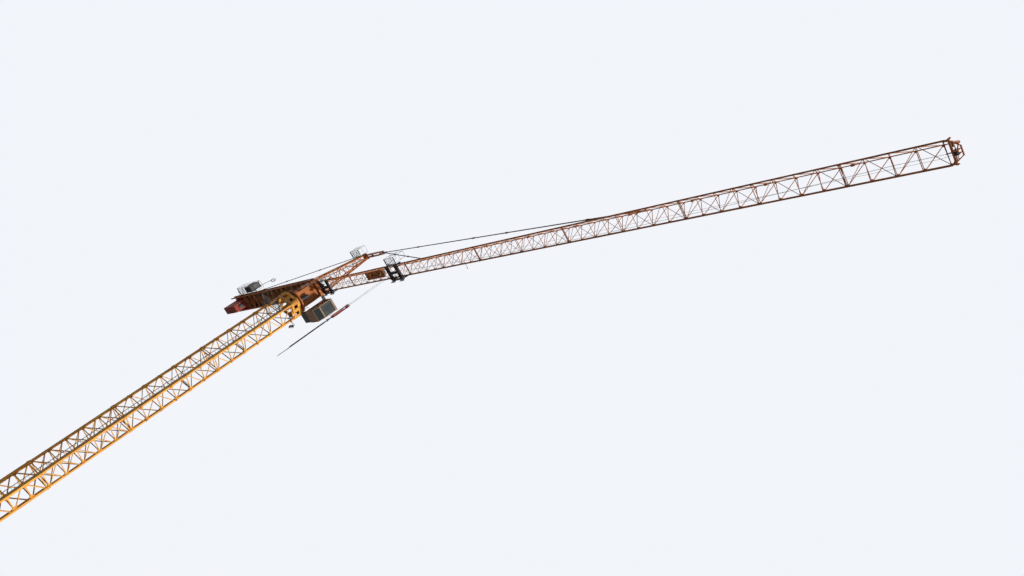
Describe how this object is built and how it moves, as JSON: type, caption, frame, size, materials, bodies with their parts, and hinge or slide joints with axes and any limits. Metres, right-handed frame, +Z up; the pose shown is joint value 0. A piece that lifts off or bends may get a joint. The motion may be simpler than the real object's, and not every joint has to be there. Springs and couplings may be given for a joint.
{
  "type": "tower crane with a saddle jib, 1:10 scale model",
  "caption": "Saddle-jib tower crane at 1:10: lattice mast, slewing head with cab, jib with travelling trolley and hook block, counter-jib with counterweight.",
  "frame": {"origin": "middle of the mast on the underside of the crossed base", "axes": "+X along the jib at rest, +Y to the cab side, +Z up"},
  "size_m": [8.566, 0.4996, 4.4517],
  "materials": {
    "mast_paint": "weathered yellow-orange paint with rust at the joints",
    "jib_paint": "faded orange-brown paint, rusty",
    "weight_paint": "matt red-brown paint",
    "dark_steel": "dark greased and painted steel",
    "galvanised": "dull galvanised steel",
    "cabinet_paint": "dark grey paint",
    "cab_paint": "beige-brown paint, dusty",
    "cab_glass": "tinted glass",
    "wire_rope": "greased wire rope",
    "block_paint": "red paint with white bands"
  },
  "bodies": {
    "tower": {"base_cross": "mast_paint", "base_mast": "mast_paint", "reinforced_mast": "mast_paint", "standard_mast_lower": "mast_paint", "standard_mast_upper": "mast_paint", "mast_ladder": "galvanised", "mast_landings": "galvanised", "service_platform": "galvanised", "mast_floodlight": "dark_steel", "slewing_support": "mast_paint", "slew_ring": "dark_steel"},
    "upper": {"turntable": "jib_paint", "slew_drives": "dark_steel", "tower_head": "jib_paint", "head_nose": "jib_paint", "head_platform": "galvanised", "jib_root": "jib_paint", "jib_length_1": "jib_paint", "jib_length_2": "jib_paint", "jib_length_3": "jib_paint", "jib_length_4": "jib_paint", "jib_length_5": "jib_paint", "jib_length_6": "jib_paint", "jib_tip": "jib_paint", "inner_pendant": "dark_steel", "outer_pendant": "dark_steel", "counter_jib": "jib_paint", "counter_jib_deck": "galvanised", "counter_jib_ties": "dark_steel", "counterweight": "weight_paint", "hoist_winch": "dark_steel", "side_platform": "galvanised", "electrical_cabinet": "cabinet_paint", "service_davit": "dark_steel", "cab_shell": "cab_paint", "cab_windows": "cab_glass", "cab_platform": "galvanised", "trolley_winch": "jib_paint", "parked_trolley": "dark_steel", "jib_ropes": "wire_rope"},
    "trolley": {"trolley_frame": "dark_steel", "trolley_wheels": "dark_steel", "trolley_sheaves": "dark_steel", "service_basket": "galvanised", "hoist_rope_falls": "wire_rope"},
    "hook": {"block_cheeks": "block_paint", "block_sheave": "dark_steel", "hook": "dark_steel", "chain_sling": "dark_steel"}
  },
  "joints": [
    {"name": "slew", "type": "hinge", "parent": "tower", "child": "upper", "pos_m": [0, 0, 3.559], "axis": [0, 0, 1], "continuous": true},
    {"name": "trolley_travel", "type": "slide", "parent": "upper", "child": "trolley", "axis": [1, 0, 0], "range_m": [-1.05, 4.5]},
    {"name": "hoist", "type": "slide", "parent": "trolley", "child": "hook", "axis": [0, 0, 1], "range_m": [-2.45, 0.44], "deforming": ["hoist_rope_falls"]}
  ]
}
